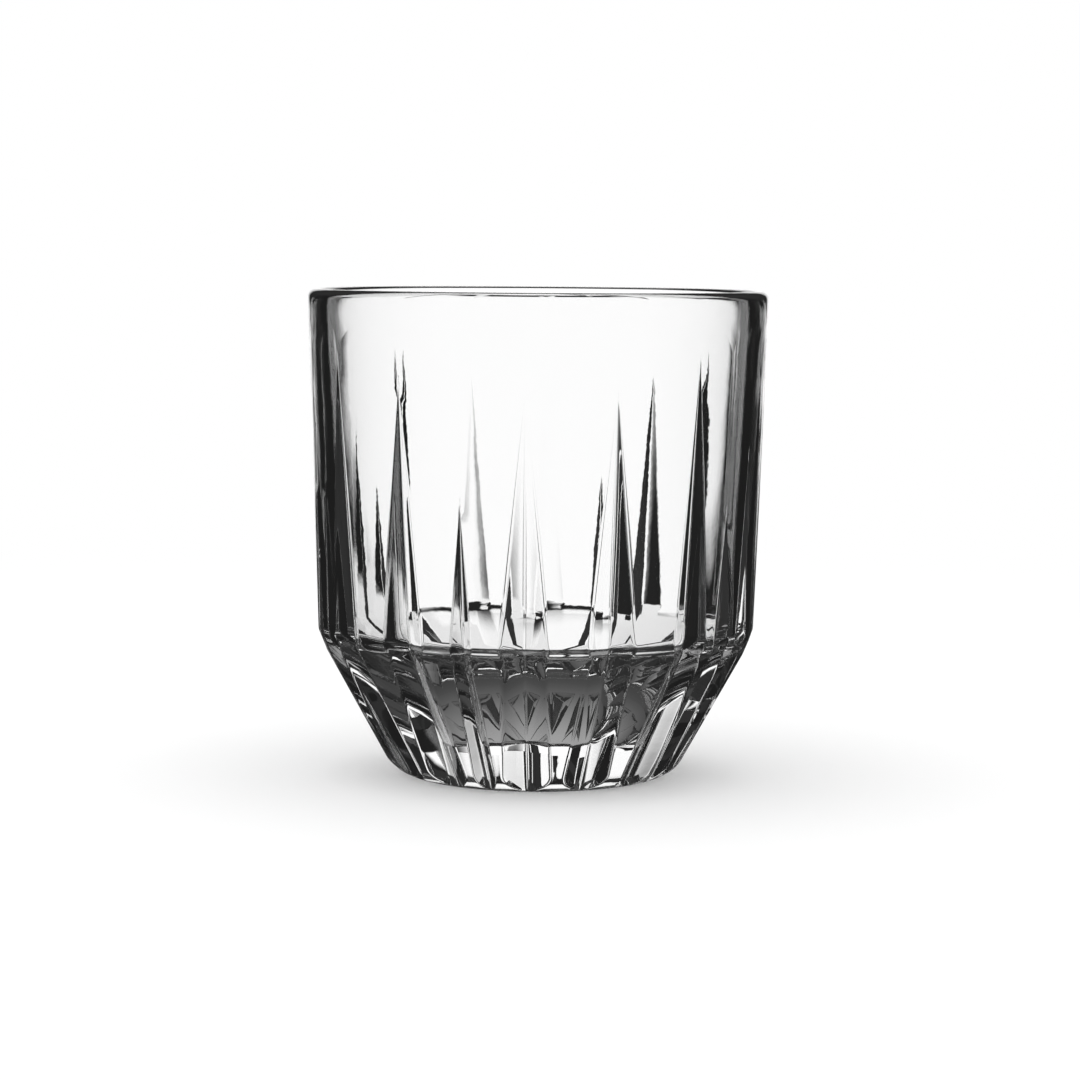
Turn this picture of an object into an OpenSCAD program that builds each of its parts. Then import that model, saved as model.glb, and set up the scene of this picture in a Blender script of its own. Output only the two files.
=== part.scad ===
// Pressed clear-glass whisky tumbler, one piece of glass: a revolved blank with an open bowl,
// pointed V-cuts of different heights that run down the wall and over the shoulder to the heel,
// and a star of V-grooves under the thick base.
// Millimetres. The origin is the centre of the resting plane, +Z runs up the axis of the glass
// and the front of the glass faces -Y.

/* [Outside] */
// Height from the resting plane to the top of the lip
height = 90; // [82:1:110]
// Outside diameter at the lip
rim_d = 85; // [80:1:94]
// Draft of the outside wall, in degrees from upright
wall_draft = 1.9; // [0.5:0.1:3]
// Height of the corner between the wall and the foot
shoulder_z = 26.2; // [24:0.2:30]
// Slope of the foot, in degrees from upright
foot_slope = 28.9; // [24:0.1:32]
// How far the upper edge of the band that bevels that corner lies above it
band_up = 1.1; // [0.5:0.1:2]
// How far the lower edge of the band lies below that corner
band_down = 2.8; // [1.5:0.1:5]
// Radius that rounds the band's two edges
band_r = 2; // [1:0.5:3]
// Radius that rounds the heel
heel_r = 7; // [4:0.5:9]

/* [Bowl] */
// Thickness of the wall at the lip
lip_t = 3.2; // [2.8:0.1:4]
// Flat left on the lip between its two rounded edges
lip_flat = 0.3; // [0.2:0.1:1]
// Draft that the bowl's wall has beyond that of the outside wall, in degrees
bowl_draft_more = 0.9; // [0.3:0.1:1.2]
// How far the corner between the bowl's wall and its steep cone lies above the shoulder's corner
bowl_lift = 0.8; // [0:0.1:2]
// Thickness of the base under the bowl's floor
floor_t = 11.5; // [9:0.5:14]
// Diameter of the bowl's flat floor, where the cone meets it
floor_d = 24; // [20:0.2:36]
// Radius that rounds the corner between the bowl's wall and its cone
bowl_shoulder_r = 3; // [2:0.5:6]
// Radius that rounds the edge of the bowl's floor
floor_r = 5; // [2:0.5:8]

/* [Cuts] */
// Depth of every cut at the shoulder corner
cut_depth = 2.2; // [1.2:0.1:2.4]
// Azimuth of each cut of one half of the pattern, in degrees from the front
cut_az = [-58, -35.5, -19, -3, 19.5, 42.8, 55.5, 67, 84, 103]; // [-90:0.5:110]
// Height of each cut's upper point above the shoulder corner
cut_rise = [51.5, 47.5, 27, 46, 47, 52, 24.5, 35, 49, 29]; // [14:0.5:54]
// Width of each cut at its full depth
cut_w = [9.8, 9.6, 4.2, 9.8, 9.6, 8.6, 5.6, 6, 9.6, 5]; // [3:0.2:10]
// Height at which the cuts run out on the rounded heel
cut_end_z = 0.2; // [0.1:0.1:1]

/* [Base] */
// Number of V-grooves in the star under the base
star_rays = 20; // [12:2:24]
// Diameter inside which the star's grooves have no depth
star_core_d = 12; // [8:0.5:18]
// Width of the plain resting ring outside the star
ring_w = 1.8; // [1:0.1:4]
// Depth of the star's grooves at their outer ends
star_depth = 3.8; // [1.5:0.1:5]
// Full angle between the two faces of a star groove, in degrees
star_angle = 70; // [50:1:80]
// Draft of the outer end of each groove, in degrees from upright
star_draft = 15; // [5:1:30]
// Distance from the star's outer ends in to the edge of the hollow under the base
kick_inset = 3.5; // [1:0.5:8]
// Depth of that hollow at its centre
kick_depth = 1.2; // [0.5:0.1:2.5]

/* [Hidden] */
$fn = 96;
// The half pattern of cuts goes round the glass in two turns, one for each half of the mould
mould_halves = 2;
// How far cutting shapes run past the surfaces that they cut
over = 1;

rim_r = rim_d / 2;
lip_r = (lip_t - lip_flat) / 2;
bowl_draft = wall_draft + bowl_draft_more;
bowl_shoulder_z = shoulder_z + bowl_lift;
band_top_z = shoulder_z + band_up;
band_low_z = shoulder_z - band_down;
function wall_r(z) = rim_r - (height - z) * tan(wall_draft);
function foot_r(z) = wall_r(shoulder_z) - (shoulder_z - z) * tan(foot_slope);
function bowl_r(z) = rim_r - lip_t - (height - z) * tan(bowl_draft);

// Corners of the glass in section, as radius and height, from the base's centre to the floor's
base_centre = [0, 0];
heel = [foot_r(0), 0];
band_low = [foot_r(band_low_z), band_low_z];
band_top = [wall_r(band_top_z), band_top_z];
rim_out = [rim_r, height];
rim_in = [rim_r - lip_t, height];
bowl_shoulder = [bowl_r(bowl_shoulder_z), bowl_shoulder_z];
floor_corner = [floor_d / 2, floor_t];
floor_centre = [0, floor_t];

// Each round of the section: the corner before, the corner that it rounds, the corner after and its
// radius
rounds = [
    [base_centre, heel, band_low, heel_r],
    [heel, band_low, band_top, band_r],
    [band_low, band_top, rim_out, band_r],
    [band_top, rim_out, rim_in, lip_r],
    [rim_out, rim_in, bowl_shoulder, lip_r],
    [rim_in, bowl_shoulder, floor_corner, bowl_shoulder_r],
    [bowl_shoulder, floor_corner, floor_centre, floor_r]
];
// Largest turn between two points of a round, in degrees
arc_step = 8;

function unit(v) = v / norm(v);
function half_angle(k) = acos(unit(k[0] - k[1]) * unit(k[2] - k[1])) / 2;
function centre(k) = k[1] + unit(unit(k[0] - k[1]) + unit(k[2] - k[1])) * k[3] / sin(half_angle(k));
// The two points where a round meets the straight lines
function tangents(k) =
    let (reach = k[3] / tan(half_angle(k)))
    [k[1] + unit(k[0] - k[1]) * reach, k[1] + unit(k[2] - k[1]) * reach];
// Points along a round from one tangent point to the other
function arc(k) =
    let (
        spoke = tangents(k)[0] - centre(k),
        last = tangents(k)[1] - centre(k),
        turn = sign(cross(spoke, last)) * (180 - 2 * half_angle(k)),
        steps = ceil(abs(turn) / arc_step)
    )
    [for (i = [0 : steps])
        let (a = turn * i / steps)
        centre(k) + [spoke.x * cos(a) - spoke.y * sin(a), spoke.x * sin(a) + spoke.y * cos(a)]];

// Radius of the flat resting plane, and of the rounded heel at a height on it
rest_r = tangents(rounds[0])[0].x;
function heel_out(z) = rest_r + sqrt(pow(heel_r, 2) - pow(heel_r - z, 2));
star_r = rest_r - ring_w;
kick_r = star_r - kick_inset;

// The glass in section, from the axis out along the base, up the outside and down the bowl
module section() {
    polygon(concat([base_centre], [for (k = rounds) each arc(k)], [floor_centre]));
}

// A V-shaped bar whose sharp edge runs from one point to another in the XZ plane, with lengths
// added before and after them. It opens towards +X, and is width wide at cut_depth from its edge.
module v_bar(from, to, width, before, after) {
    tilt = atan2(to.x - from.x, to.y - from.y);
    reach = cut_depth + over;
    spread = width / 2 * reach / cut_depth;
    translate([from.x, 0, from.y])
        rotate([0, tilt, 0])
            translate([0, 0, -before])
                linear_extrude(norm(to - from) + before + after)
                    polygon([[0, 0], [reach, -spread], [reach, spread]]);
}

// One pointed cut: its edge sinks from the wall's surface to the full depth at the shoulder,
// bends there and runs straight down the foot until the heel curves away under it
module mitre_cut(rise, width) {
    past = cut_depth + over;
    top = [wall_r(shoulder_z + rise), shoulder_z + rise];
    bend = [wall_r(shoulder_z) - cut_depth, shoulder_z];
    end = [heel_out(cut_end_z), cut_end_z];
    v_bar(bend, top, width, past, past);
    v_bar(end, bend, width, past, past);
}

module mitre_cuts() {
    for (half = [0 : mould_halves - 1], i = [0 : len(cut_az) - 1])
        rotate([0, 0, cut_az[i] - 90 + half * 360 / mould_halves])
            mitre_cut(cut_rise[i], cut_w[i]);
}

// One groove of the star: its edge climbs outwards from the resting plane to the drafted end
module star_groove() {
    inner = [star_core_d / 2, 0];
    outer = [star_r, star_depth];
    climb = atan2(outer.y - inner.y, outer.x - inner.x);
    reach = star_depth + over;
    spread = reach * tan(star_angle / 2);
    intersection() {
        translate([inner.x, 0, inner.y])
            rotate([90, 0, 90])
                rotate([-climb, 0, 0])
                    linear_extrude(norm(outer - inner) + over)
                        polygon([[0, 0], [-spread, -reach], [spread, -reach]]);
        translate([0, 0, -over])
            cylinder(
                r1 = star_r + over * tan(star_draft),
                r2 = star_r - (star_depth + over) * tan(star_draft),
                h = star_depth + 2 * over
            );
    }
}

module star() {
    for (i = [0 : star_rays - 1])
        rotate([0, 0, -90 + i * 360 / star_rays])
            star_groove();
}

// The shallow hollow that leaves a resting ring
module kick() {
    ball_r = (pow(kick_r, 2) + pow(kick_depth, 2)) / (2 * kick_depth);
    translate([0, 0, kick_depth - ball_r])
        sphere(ball_r);
}

module tumbler() {
    color("gainsboro", 0.4)
        difference() {
            rotate_extrude() section();
            mitre_cuts();
            star();
            kick();
        }
}

tumbler();
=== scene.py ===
import math

import bmesh
import bpy
import numpy as np
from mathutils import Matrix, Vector


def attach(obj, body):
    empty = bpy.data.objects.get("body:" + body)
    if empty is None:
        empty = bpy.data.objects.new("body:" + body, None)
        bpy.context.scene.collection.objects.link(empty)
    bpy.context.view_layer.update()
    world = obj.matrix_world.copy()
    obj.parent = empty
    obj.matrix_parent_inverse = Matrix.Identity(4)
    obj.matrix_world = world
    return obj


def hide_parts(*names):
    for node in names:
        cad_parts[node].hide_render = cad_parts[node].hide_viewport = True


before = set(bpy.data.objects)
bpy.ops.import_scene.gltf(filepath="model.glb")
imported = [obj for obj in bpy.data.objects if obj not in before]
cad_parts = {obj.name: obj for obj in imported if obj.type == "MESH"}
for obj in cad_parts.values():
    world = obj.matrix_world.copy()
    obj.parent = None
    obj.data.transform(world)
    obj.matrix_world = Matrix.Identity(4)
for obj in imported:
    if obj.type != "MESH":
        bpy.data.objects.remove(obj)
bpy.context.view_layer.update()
mm = 0.001
bounces = 32  # cut glass passes light on many times

scene = bpy.context.scene
scene.view_settings.view_transform = "Standard"
scene.cycles.max_bounces = bounces
scene.cycles.transmission_bounces = bounces
scene.cycles.glossy_bounces = bounces


class Wire:
    # a socket that takes part in sums, so shader maths reads as plain maths
    def __init__(self, tree, socket):
        self.tree = tree
        self.socket = socket

    def make(self, kind, settings=None, **values):
        # a new node, whose sockets go by name, with _ for a space, or by i and their number
        node = self.tree.nodes.new(kind)
        for name, value in (settings or {}).items():
            setattr(node, name, value)
        for name, value in values.items():
            slot = node.inputs[int(name[1:])] if name[1:].isdigit() else node.inputs[name.replace("_", " ")]
            if isinstance(value, Wire):
                self.tree.links.new(value.socket, slot)
            else:
                slot.default_value = value
        return node

    def out(self, node, name=0):
        return Wire(self.tree, node.outputs[name])

    def maths(self, operation, *terms):
        values = {f"i{n}": term for n, term in enumerate(terms)}
        return self.out(self.make("ShaderNodeMath", {"operation": operation}, **values))

    def __add__(self, other):
        return self.maths("ADD", self, other)

    def __radd__(self, other):
        return self.maths("ADD", other, self)

    def __sub__(self, other):
        return self.maths("SUBTRACT", self, other)

    def __rsub__(self, other):
        return self.maths("SUBTRACT", other, self)

    def __mul__(self, other):
        return self.maths("MULTIPLY", self, other)

    def __rmul__(self, other):
        return self.maths("MULTIPLY", other, self)

    def __truediv__(self, other):
        return self.maths("DIVIDE", self, other)

    def __rtruediv__(self, other):
        return self.maths("DIVIDE", other, self)

    def __pow__(self, other):
        return self.maths("POWER", self, other)

    def __gt__(self, other):
        return self.maths("GREATER_THAN", self, other)

    def __lt__(self, other):
        return self.maths("LESS_THAN", self, other)

    def __abs__(self):
        return self.maths("ABSOLUTE", self)

    def orMore(self, other):
        return self.maths("MAXIMUM", self, other)

    def degreesFrom(self, other):
        # degrees from other's axis towards this one's
        return self.maths("ARCTAN2", self, other) * (180 / math.pi)

    def soft(self, low, high):
        # 0 below low, 1 above high and smooth between
        return self.out(self.make("ShaderNodeMapRange", {"interpolation_type": "SMOOTHSTEP"},
                                  Value=self, From_Min=low, From_Max=high))

    def past(self, edge, width):
        # the same, with the edge in the middle
        return self.soft(edge - width, edge + width)


def emptyTree(holder):
    holder.use_nodes = True
    holder.node_tree.nodes.clear()
    return Wire(holder.node_tree, None)


# the camera stands where the outline of the glass puts it
shot = {
    "place": (0, -0.616, 0.099), "pitch": 5.14, "pan": 0.06, "roll": 0.4,
    "lens": 111, "sensor": 36, "clipEnd": 50,
}
bpy.ops.object.select_all(action="DESELECT")
bpy.ops.object.camera_add(location=shot["place"])
camera = bpy.context.object
camera.name = "photoCamera"
camera.data.lens = shot["lens"]
camera.data.sensor_width = shot["sensor"]
camera.data.clip_end = shot["clipEnd"]
camera.rotation_euler = (math.radians(90 - shot["pitch"]), 0, math.radians(-shot["pan"]))
camera.rotation_euler.rotate_axis("Z", math.radians(shot["roll"]))
scene.camera = camera
print("camera set")


# the glass, in millimetres and degrees
glass = {
    "height": 90, "rimRadius": 42.5, "wallDraft": 1.9, "shoulderZ": 26.2, "footSlope": 28.9,
    "bandTopZ": 27.3, "bandLowZ": 23.4, "bandRound": 2, "heelRound": 7,
    "lipThick": 3.2, "lipFlat": 0.3, "bowlDraft": 2.8, "bowlShoulderZ": 27, "floorRadius": 12,
    "floorZ": 11.5, "bowlShoulderRound": 3, "floorRound": 5,
    # cuts of one half of the mould, from the front
    "cutDepth": 2.2, "cutEndZ": 0.2,
    "cutAzimuth": [-58, -35.5, -19, -3, 19.5, 42.8, 55.5, 67, 84, 103],
    "cutRise": [51.5, 47.5, 27, 46, 47, 52, 24.5, 35, 49, 29],
    "cutWidth": [9.8, 9.6, 4.2, 9.8, 9.6, 8.6, 5.6, 6, 9.6, 5],
    # star under the base, with as many rays as there are cuts, and the hollow
    "rays": 20, "starCore": 6, "starRadius": 20, "starDepth": 3.8, "starAngle": 70, "starDraft": 15,
    "kickRadius": 16.5, "kickDepth": 1.2,
    # softness that fire polish gives to edges and sharp lines, whole where a cut is softDepth deep
    "edgeSoft": 0.25, "rootSoft": 0.2, "softDepth": 1.2, "softLeast": 0.1, "bendSoft": 0.5,
    "raySoft": 0.05, "rayEndSoft": 0.15, "kickSoft": 0.1,
    # rows of the mesh: steps of each round, and cuts along each straight line
    "heelSteps": 16, "bandSteps": 4, "lipSteps": 8, "bowlShoulderSteps": 10, "floorSteps": 12,
    "coreCuts": 3, "rayCuts": 13, "rayEndCuts": 12, "ringCuts": 2, "footCuts": 25, "bandCuts": 6,
    "wallCuts": 46, "bowlCuts": 20, "coneCuts": 4, "floorCuts": 8,
    # columns of the mesh: least half width of a cut, half widths of a ray, and where columns run even again
    "cutLeast": 0.3, "rayLeast": 0.5, "rayMost": 8.8, "evenAbove": 0.5, "evenBelow": 2, "evenCore": 0.4,
    "rayEndIn": 0.2, "rayEndOut": 0.1, "ringFrom": 0.15,
}


def tan(degrees):
    return math.tan(math.radians(degrees))


def wallR(z):
    return glass["rimRadius"] - (glass["height"] - z) * tan(glass["wallDraft"])


def footR(z):
    return wallR(glass["shoulderZ"]) - (glass["shoulderZ"] - z) * tan(glass["footSlope"])


def bowlR(z):
    return glass["rimRadius"] - glass["lipThick"] - (glass["height"] - z) * tan(glass["bowlDraft"])


def drawLine(points):
    bpy.ops.object.select_all(action="DESELECT")
    bpy.ops.mesh.primitive_plane_add(size=mm)
    bpy.ops.object.mode_set(mode="EDIT")
    bpy.ops.mesh.select_all(action="SELECT")
    bpy.ops.mesh.merge(type="CENTER")
    bpy.ops.transform.translate(value=points[0])
    for before, after in zip(points, points[1:]):
        bpy.ops.mesh.extrude_region_move(TRANSFORM_OT_translate={"value": after - before})
    return bpy.context.object


def pickNear(places, reach=0.02 * mm):
    # selects the edit-mesh vertices that lie at the given places
    bpy.ops.mesh.select_all(action="DESELECT")
    mesh = bmesh.from_edit_mesh(bpy.context.object.data)
    for vertex in mesh.verts:
        vertex.select = any((vertex.co - place).length < reach for place in places)
    mesh.select_flush(True)
    bmesh.update_edit_mesh(bpy.context.object.data)


def roundCorner(before, corner, after, radius, segments):
    # bevels a corner of the line, and gives the two places where the round meets the straights
    half = (before - corner).angle(after - corner) / 2
    reach = radius * mm / math.tan(half)
    pickNear([corner])
    bpy.ops.mesh.bevel(offset_type="OFFSET", offset=reach, segments=segments, profile=0.5, affect="VERTICES")
    return (corner + (before - corner).normalized() * reach, corner + (after - corner).normalized() * reach)


def splitLine(start, end, cuts):
    pickNear([start, end])
    bpy.ops.mesh.subdivide(number_cuts=cuts)


def at(radius, z):
    return Vector((radius * mm, 0, z * mm))


# section of the glass, from the middle of the base out, up the wall, over the lip and down the bowl
starEnd = glass["starRadius"] - glass["starDepth"] * tan(glass["starDraft"])
baseMiddle, starStart = at(0, 0), at(glass["starCore"], 0)
starStop, starRim = at(starEnd - glass["rayEndIn"], 0), at(glass["starRadius"] + glass["rayEndOut"], 0)
heel = at(footR(0), 0)
bandLow = at(footR(glass["bandLowZ"]), glass["bandLowZ"])
bandTop = at(wallR(glass["bandTopZ"]), glass["bandTopZ"])
rimOut = at(glass["rimRadius"], glass["height"])
rimIn = at(glass["rimRadius"] - glass["lipThick"], glass["height"])
bowlShoulder = at(bowlR(glass["bowlShoulderZ"]), glass["bowlShoulderZ"])
bowlCorner = at(glass["floorRadius"], glass["floorZ"])
floorMiddle = at(0, glass["floorZ"])

section = drawLine([baseMiddle, starStart, starStop, starRim, heel, bandLow, bandTop, rimOut, rimIn,
                    bowlShoulder, bowlCorner, floorMiddle])
section.name = "tumblerGlass"
lipRound = (glass["lipThick"] - glass["lipFlat"]) / 2
heelIn, heelOut = roundCorner(starRim, heel, bandLow, glass["heelRound"], glass["heelSteps"])
footHigh, bandStart = roundCorner(heel, bandLow, bandTop, glass["bandRound"], glass["bandSteps"])
bandEnd, wallLow = roundCorner(bandLow, bandTop, rimOut, glass["bandRound"], glass["bandSteps"])
lipOut, _ = roundCorner(bandTop, rimOut, rimIn, lipRound, glass["lipSteps"])
_, lipIn = roundCorner(rimOut, rimIn, bowlShoulder, lipRound, glass["lipSteps"])
bowlHigh, bowlLow = roundCorner(rimIn, bowlShoulder, bowlCorner, glass["bowlShoulderRound"],
                                glass["bowlShoulderSteps"])
floorHigh, floorLow = roundCorner(bowlShoulder, bowlCorner, floorMiddle, glass["floorRound"],
                                  glass["floorSteps"])
splitLine(baseMiddle, starStart, glass["coreCuts"])
splitLine(starStart, starStop, glass["rayCuts"])
splitLine(starStop, starRim, glass["rayEndCuts"])
splitLine(starRim, heelIn, glass["ringCuts"])
splitLine(heelOut, footHigh, glass["footCuts"])
splitLine(bandStart, bandEnd, glass["bandCuts"])
splitLine(wallLow, lipOut, glass["wallCuts"])
splitLine(lipIn, bowlHigh, glass["bowlCuts"])
splitLine(bowlLow, floorHigh, glass["coneCuts"])
splitLine(floorLow, floorMiddle, glass["floorCuts"])
bpy.ops.object.mode_set(mode="OBJECT")
print("section drawn,", len(section.data.vertices), "points")

# one full turn, closed at the seam and at both ends on the axis
columns = 20  # layColumns lays as many across one cut
steps = glass["rays"] * columns
seam = 0.001 * mm
bpy.ops.object.modifier_add(type="SCREW")
turn = section.modifiers[-1]
turn.angle, turn.steps, turn.render_steps = 2 * math.pi, steps, steps
turn.use_merge_vertices, turn.merge_threshold = True, seam
bpy.ops.object.modifier_apply(modifier=turn.name)
bpy.ops.object.mode_set(mode="EDIT")
bpy.ops.mesh.select_all(action="SELECT")
bpy.ops.mesh.remove_doubles(threshold=seam)
bpy.ops.mesh.normals_make_consistent(inside=False)
bpy.ops.object.mode_set(mode="OBJECT")
print("blank turned,", len(section.data.vertices), "points")


# the cuts and the star are pressed in: columns of the blank slide along it to the cuts' edges, then sink
def softMin(a, b, width):
    return np.minimum(a, b) - np.maximum(width - np.abs(a - b), 0) ** 2 / (4 * width)


def softMax(a, b, width):
    return -softMin(-a, -b, width)


def blend(value, low, high):
    t = np.clip((value - low) / (high - low), 0, 1)
    return t * t * (3 - 2 * t)


azimuths = np.radians(np.array(glass["cutAzimuth"] + [a + 180 for a in glass["cutAzimuth"]]))
rises = np.array(glass["cutRise"] * 2, float)
slopes = 2 * glass["cutDepth"] / np.array(glass["cutWidth"] * 2, float)


def heelR(z):
    # radius of the rounded heel at a height on it
    return heelIn.x / mm + math.sqrt(glass["heelRound"] ** 2 - (glass["heelRound"] - z) ** 2)


def cutRoots(z):
    # radius of every cut's sharp line at height z, and how steep its two faces are in a level slice
    z = z[:, None]
    bend, end = glass["shoulderZ"], glass["cutEndZ"]
    top = bend + rises[None]
    deepest = wallR(bend) - glass["cutDepth"]
    wallLean = (wallR(top) - deepest) / (top - bend)
    footLean = (deepest - heelR(end)) / (bend - end) + 0 * top
    root = softMin(deepest + (z - bend) * wallLean, deepest + (z - bend) * footLean, glass["bendSoft"])
    lean = np.where(z > bend, wallLean, footLean)
    return root, slopes[None] * np.sqrt(1 + lean ** 2)


def faceR(angle, root, slope, soft=0):
    # radius at which a ray at this angle from the cut's middle meets its faces
    return root / (np.cos(angle) - slope * np.sqrt(np.sin(angle) ** 2 + soft ** 2))


def cutBounds(z, wall, halvings=40):
    # angles of each cut's edges, and of the borders between neighbours, for level slices
    root, slope = cutRoots(z)
    wall = wall[:, None]
    inside = np.maximum(root ** 2 * slope ** 2 - (1 + slope ** 2) * (root ** 2 - wall ** 2), 0)
    reach = np.maximum((np.sqrt(inside) - root * slope) / (1 + slope ** 2), 0)
    half = np.maximum(np.arctan2(reach, root + slope * reach), math.radians(glass["cutLeast"]))
    nextAz = np.append(azimuths[1:], azimuths[0] + 2 * math.pi)
    low, high = azimuths[None] + 0 * root, nextAz[None] + 0 * root
    nextRoot, nextSlope = np.roll(root, -1, 1), np.roll(slope, -1, 1)
    for _ in range(halvings):
        mid = (low + high) / 2
        past = faceR(mid - azimuths, root, slope) > faceR(nextAz - mid, nextRoot, nextSlope)
        low, high = np.where(past, low, mid), np.where(past, mid, high)
    ridge = (low + high) / 2
    joined = faceR(ridge - azimuths, root, slope) < wall
    right = np.where(joined, ridge, azimuths + half)
    left = np.where(joined, ridge, nextAz - np.roll(half, -1, 1))
    border = (right + left) / 2
    # left edge and left border of each cut come from the pair before it
    turn = np.where(np.arange(len(azimuths)) == 0, 2 * math.pi, 0)
    return np.roll(left, 1, 1) - turn, right, np.roll(border, 1, 1) - turn, border, root, slope


def layColumns(leftBorder, left, middle, right, rightBorder, edge, rootWidth, inShare=0.3, outShare=0.4):
    # twenty places across one cut: border, left edge, face, sharp line, face, right edge
    inL = np.minimum(edge, inShare * (middle - left))
    inR = np.minimum(edge, inShare * (right - middle))
    outL = np.minimum(edge, outShare * (left - leftBorder))
    outR = np.minimum(edge, outShare * (rightBorder - right))
    deepL = np.minimum(rootWidth, inShare * (middle - left))
    deepR = np.minimum(rootWidth, inShare * (right - middle))
    places = [leftBorder, (leftBorder + left - outL) / 2, left - outL, left - outL / 2, left, left + inL / 2,
              left + inL, (left + inL + middle - deepL) / 2, middle - deepL, middle - deepL / 2, middle,
              middle + deepR / 2, middle + deepR, (middle + deepR + right - inR) / 2, right - inR,
              right - inR / 2, right, right + outR / 2, right + outR, (right + outR + rightBorder) / 2]
    return np.stack(places, -1)


sectorStart = -63  # degrees from the front at which the first cut's columns begin
snap = 0.001
spots = np.zeros(len(section.data.vertices) * 3)
section.data.vertices.foreach_get("co", spots)
spots = spots.reshape(-1, 3) / mm
radius, height = np.hypot(spots[:, 0], spots[:, 1]), spots[:, 2]
turnAt = np.degrees(np.arctan2(spots[:, 1], spots[:, 0])) + 90 - sectorStart
column = np.round(turnAt / 360 * steps).astype(int) % steps
sector, part = column // columns, column % columns
evenAngle = np.radians(column * 360 / steps + sectorStart)

lipMiddle = glass["rimRadius"] - glass["lipThick"] / 2
wallMiddle = np.interp(height, [0, glass["floorZ"], glass["bandTopZ"], glass["height"]],
                       [0, footR(0), bandTop.x / mm - glass["cutDepth"], lipMiddle])
inner = (height > glass["floorZ"] - snap) & (radius < wallMiddle)
outer = ~inner & (height > snap)
base = height < snap
onAxis = radius < snap

newRadius, newHeight, newAngle = radius.copy(), height.copy(), evenAngle.copy()

# outside: wall, shoulder and foot
rows, rowOf = np.unique(np.round(height[outer], 5), return_inverse=True)
wallAt = np.zeros(len(rows))
wallAt[rowOf] = radius[outer]
left, right, leftBorder, rightBorder, root, slope = cutBounds(rows, wallAt)
middle = azimuths[None] + 0 * root
# edges and sharp lines are crisp at the cuts' fine points and softer where the cuts are deep
crisp = np.clip((wallAt[:, None] - root) / glass["softDepth"], glass["softLeast"], 1)
edgeWidth = glass["edgeSoft"] * crisp / slope / wallAt[:, None]
rootWidth = 2 * glass["rootSoft"] * crisp / wallAt[:, None]
cutColumns = layColumns(leftBorder, left, middle, right, rightBorder, edgeWidth, rootWidth)
pickedAngle = cutColumns[rowOf, sector[outer], part[outer]]
even = blend(height[outer], glass["shoulderZ"] + rises.max() + glass["evenAbove"],
             glass["height"] - glass["evenBelow"])
angle = pickedAngle * (1 - even) + evenAngle[outer] * even
farthest = math.radians(30)  # no cut reaches further from its middle
sunk = wallAt[rowOf].copy()
for beside in (-1, 0, 1):
    which = (sector[outer] + beside) % len(azimuths)
    off = (angle - azimuths[which] + math.pi) % (2 * math.pi) - math.pi
    soft = glass["rootSoft"] * crisp[rowOf, which] / wallAt[rowOf]
    close = np.abs(off) < farthest
    face = faceR(np.where(close, off, 0), root[rowOf, which], slope[rowOf, which], soft)
    sunk = softMin(sunk, np.where(close, face, np.inf), glass["edgeSoft"] * crisp[rowOf, which])
newRadius[outer] = sunk
newAngle[outer] = angle

# base: star of grooves and the shallow hollow
ballR = (glass["kickRadius"] ** 2 + glass["kickDepth"] ** 2) / (2 * glass["kickDepth"])
climb = glass["starDepth"] / (glass["starRadius"] - glass["starCore"])
faceRun = tan(glass["starAngle"] / 2) * math.cos(math.atan(climb))


def hollow(r):
    return np.where(r < glass["kickRadius"],
                    glass["kickDepth"] - ballR + np.sqrt(np.maximum(ballR ** 2 - r ** 2, 0)), 0)


def rayHalf(r, clearOfAxis=0.5):
    # half the angle that a ray of the star takes up at a radius
    deep = np.maximum((r - glass["starCore"]) * climb - hollow(r), 0)
    half = np.arctan2(deep * faceRun, np.maximum(r, clearOfAxis))
    return np.clip(half, math.radians(glass["rayLeast"]), math.radians(glass["rayMost"]))


halfSector = math.pi / glass["rays"]
rayMiddle = np.radians(sectorStart + (np.arange(glass["rays"]) + 0.5) * 360 / glass["rays"])
baseR = radius[base]
half = rayHalf(baseR)
rayAt = rayMiddle[sector[base]]
grown = np.maximum(baseR, 1)
rayColumns = layColumns(rayAt - halfSector, rayAt - half, rayAt, rayAt + half, rayAt + halfSector,
                        glass["edgeSoft"] / grown, glass["rootSoft"] / grown)
starAngle = rayColumns[np.arange(len(baseR)), part[base]]
fade = blend(baseR, glass["starCore"] * glass["evenCore"], glass["starCore"])
baseAngle = evenAngle[base] * (1 - fade) + starAngle * fade
across = np.abs(baseR * np.sin(baseAngle - rayAt))
groove = (baseR - glass["starCore"]) * climb - np.sqrt(across ** 2 + glass["raySoft"] ** 2) / faceRun
end = (glass["starRadius"] - baseR) / tan(glass["starDraft"])
pressed = softMax(softMin(groove, end, glass["rayEndSoft"]), hollow(baseR), glass["kickSoft"])
ringFrom = glass["starRadius"] + glass["ringFrom"]
newHeight[base] = np.where(baseR < ringFrom, np.maximum(pressed, 0), 0)
newAngle[base] = baseAngle

# resting ring and heel: the star's columns slide over to the cuts' columns
ringHalf = rayHalf(np.array([glass["starRadius"]]))
ringAngle = layColumns(rayMiddle - halfSector, rayMiddle - ringHalf, rayMiddle, rayMiddle + ringHalf,
                       rayMiddle + halfSector, glass["edgeSoft"] / starEnd, glass["rootSoft"] / starEnd)
lowRow = np.searchsorted(rows, glass["cutEndZ"])
ring = (base & (radius > ringFrom)) | (outer & (height < rows[lowRow] + snap))
slid = blend(radius[ring], glass["starRadius"], wallAt[lowRow])
newAngle[ring] = (ringAngle[sector[ring], part[ring]] * (1 - slid)
                  + cutColumns[lowRow][sector[ring], part[ring]] * slid)

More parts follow.
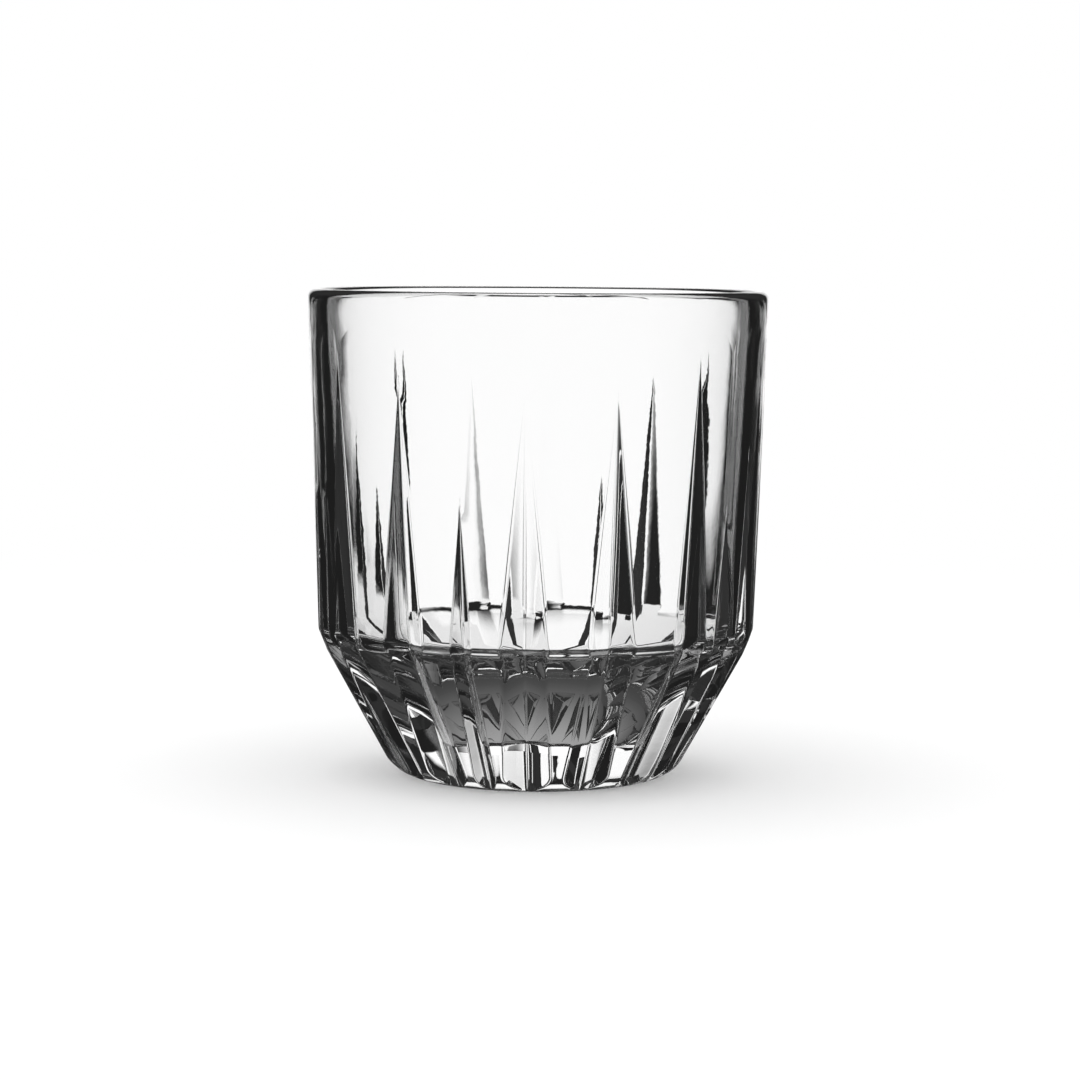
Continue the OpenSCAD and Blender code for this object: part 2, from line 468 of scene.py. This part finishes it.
turned = newAngle - math.pi / 2
placed = np.stack([newRadius * np.cos(turned), newRadius * np.sin(turned), newHeight], -1)
placed[onAxis] = spots[onAxis]
placed[onAxis & base, 2] = glass["kickDepth"]
section.data.vertices.foreach_set("co", (placed * mm).ravel())
section.data.update()
bpy.ops.object.shade_smooth()
print("cuts and star pressed in")


# clear glass: slow waves from the mould, a fine grain under the fire polish and faint wear
finish = {
    "index": 1.52, "polish": 0.002, "wear": 0.012, "wearScale": 160, "wearDetail": 4, "wornFrom": (0.5, 0.8),
    "bump": 0.06, "waveScale": 75, "waveDetail": 1, "grain": 0.06, "grainScale": 520, "grainDetail": 2,
}


def clearGlass():
    material = bpy.data.materials.new("clearGlass")
    tree = emptyTree(material)
    place = tree.out(tree.make("ShaderNodeTexCoord"), "Object")

    def noise(name):
        return tree.out(tree.make("ShaderNodeTexNoise", Vector=place, Scale=finish[name + "Scale"],
                                  Detail=finish[name + "Detail"]))

    surface = noise("wave") + noise("grain") * finish["grain"]
    bump = tree.make("ShaderNodeBump", Strength=finish["bump"], Distance=mm, Height=surface)
    worn = noise("wear").soft(*finish["wornFrom"])
    shader = tree.make("ShaderNodeBsdfPrincipled", Base_Color=(1, 1, 1, 1), IOR=finish["index"],
                       Roughness=finish["polish"] + worn * finish["wear"], Transmission_Weight=1,
                       Normal=tree.out(bump))
    tree.make("ShaderNodeOutputMaterial", Surface=tree.out(shader))
    return material


section.data.materials.clear()
section.data.materials.append(clearGlass())
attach(section, "root")
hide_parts("tumbler")


# studio, in degrees: a white panel behind the glass, a light over it, a light overhead and dark flags
studio = {
    "soft": 3, "dark": 0.012, "ambient": 0.9, "lost": (5, 8), "lostLevel": 0.03,
    "panel": 1.14, "panelHalf": 18, "panelTop": 25, "over": (22, 30), "overHalf": 24, "overhead": (50, 58),
    "openFrom": 72, "openTop": 40, "frontFrom": 115, "front": 0.05,
}


def studioAt(x, y, rise, path):
    # how bright the studio is towards x, y and degrees of rise as glass shows it: the panel and lights, and
    # past the flags white where a ray comes straight through, dim where it was thrown back
    turn = abs(x.degreesFrom(y))
    soft, half = studio["soft"], studio["panelHalf"]
    straight = x.out(path, "Glossy Depth") < 0.5
    oval = ((turn / half) ** 2 + (rise.orMore(0) / studio["panelTop"]) ** 2) ** 0.5
    over = rise.soft(*studio["over"]) * (1 - turn.past(studio["overHalf"], soft))
    above = straight * over.orMore(rise.soft(*studio["overhead"]))
    white = (1 - oval.past(1, soft / half)).orMore(above) * studio["panel"]
    beyond = straight * turn.past(studio["openFrom"], soft)
    front = turn.past(studio["frontFrom"], soft) * studio["front"]
    return white, (1 - rise.past(studio["openTop"], soft)) * beyond.orMore(front), straight


def settle(seen, path):
    # a ray that has wandered about inside the glass shows the studio's mean level
    lost = seen.out(path, "Ray Depth").soft(*studio["lost"])
    return seen * (1 - lost) + lost * studio["lostLevel"]


world = bpy.data.worlds.new("studioWorld")
scene.world = world
tree = emptyTree(world)
way = tree.make("ShaderNodeSeparateXYZ", Vector=tree.out(tree.make("ShaderNodeTexCoord"), "Generated"))
x, y, up = tree.out(way, "X"), tree.out(way, "Y"), tree.out(way, "Z")
path = tree.make("ShaderNodeLightPath")
fromCamera = tree.out(path, "Is Camera Ray")
matteLit = tree.out(path, "Diffuse Depth") > 0.5  # the matte floor gets plain even light
rise = up.degreesFrom((x * x + y * y) ** 0.5)
white, rest, straight = studioAt(x, y, rise, path)
seen = settle(studio["dark"] + white + rest, path)
level = fromCamera + (1 - fromCamera) * (matteLit * studio["ambient"] + (1 - matteLit) * seen)
light = tree.make("ShaderNodeBackground", Color=(1, 1, 1, 1), Strength=level)
tree.make("ShaderNodeOutputWorld", Surface=tree.out(light))

# pale floor, in metres from the glass: to the camera it is white further off and keeps the shadow near the
# glass, and glass shows it as a glowing sheet of painted light and shade: a painted shadow under the foot
# with a painted glow under the middle of the base, painted shade in a gap behind it, and painted white light
# round about
ground = {
    "radius": 8, "sides": 96, "pale": 0.94, "whiteFrom": (0.12, 0.45), "frontFrom": (0.10, 0.17),
    # under sets where the painted shadow under the glass ends, glow the painted glow under the middle of the
    # base, near the painted ring of white light and gap the painted shade behind the glass
    "under": (0.030, 0.034), "underShadeLevel": 0.05, "glow": (0.008, 0.024), "glowLevel": 0.32,
    "nearLeft": (0.30, 0.36), "nearRight": (0.17, 0.21), "nearLevel": 0.95,
    "gapFrom": 0.095, "gapTo": 0.165, "gapSoft": 0.015, "gapSide": (0.025, 0.038),
}
bpy.ops.object.select_all(action="DESELECT")
bpy.ops.mesh.primitive_circle_add(vertices=ground["sides"], radius=ground["radius"], fill_type="NGON")
floor = bpy.context.object
floor.name = "studioFloor"
pale = bpy.data.materials.new("paleFloor")
tree = emptyTree(pale)
spot = tree.make("ShaderNodeSeparateXYZ", Vector=tree.out(tree.make("ShaderNodeTexCoord"), "Object"))
x, y = tree.out(spot, "X"), tree.out(spot, "Y")
path = tree.make("ShaderNodeLightPath")
fromCamera = tree.out(path, "Is Camera Ray")
matteLit = tree.out(path, "Diffuse Depth") > 0.5
away = (x * x + y * y) ** 0.5
white, rest, straight = studioAt(x, y, away * 0, path)
# glass rays see a painted shadow on the floor under the foot, out to the under radius
clear = away.soft(*ground["under"])
# painted shade in a band behind the glass; the mask after it is the floor outside all painted shade
paintedShadeGap = away.past(ground["gapFrom"], ground["gapSoft"]) * (1 - away.past(ground["gapTo"], ground["gapSoft"]))
outsidePaintedShade = clear * (1 - paintedShadeGap * (1 - abs(x).soft(*ground["gapSide"])) * (y > 0))
# a painted ring of white light on the floor round about the glass, reaching further on the left
farLeft, farRight = away.soft(*ground["nearLeft"]), away.soft(*ground["nearRight"])
paintedNearLight = straight * outsidePaintedShade * (1 - farRight + (x < 0) * (farRight - farLeft)) * ground["nearLevel"]
# painted light on the floor, following the studio's white panel, flags and dim front
lit = white * outsidePaintedShade + rest * away.soft(*ground["frontFrom"])
# level of the painted shadow under the foot, with a painted glow under the middle of the base
paintedUnderShadeAndGlow = ground["underShadeLevel"] + (1 - away.soft(*ground["glow"])) * ground["glowLevel"]
# all of the floor's painted light and shade as glass rays see it
paintedFloorLightAndShade = settle(studio["dark"] + (1 - clear) * paintedUnderShadeAndGlow + lit.orMore(paintedNearLight), path)
shown = fromCamera * away.soft(*ground["whiteFrom"]) + (1 - fromCamera) * (1 - matteLit)
matte = tree.make("ShaderNodeBsdfDiffuse", Color=(ground["pale"], ground["pale"], ground["pale"], 1))
# the floor glows with this painted light and shade to glass rays, though it is no lamp, and is plain white
# to the camera
glow = tree.make("ShaderNodeEmission", Color=(1, 1, 1, 1), Strength=fromCamera + (1 - fromCamera) * paintedFloorLightAndShade)
mixed = tree.make("ShaderNodeMixShader", i0=shown, i1=tree.out(matte), i2=tree.out(glow))
tree.make("ShaderNodeOutputMaterial", Surface=tree.out(mixed))
floor.data.materials.append(pale)

softTop = {"place": (-0.1, -0.05, 1.2), "energy": 5, "size": 1.6}
bpy.ops.object.light_add(type="AREA", location=softTop["place"])
lamp = bpy.context.object
lamp.name = "softTop"
lamp.data.energy = softTop["energy"]
lamp.data.shape = "DISK"
lamp.data.size = softTop["size"]
lamp.rotation_euler = (-lamp.location).to_track_quat("-Z", "Y").to_euler()
lamp.visible_glossy = False
lamp.visible_transmission = False
print("studio set")
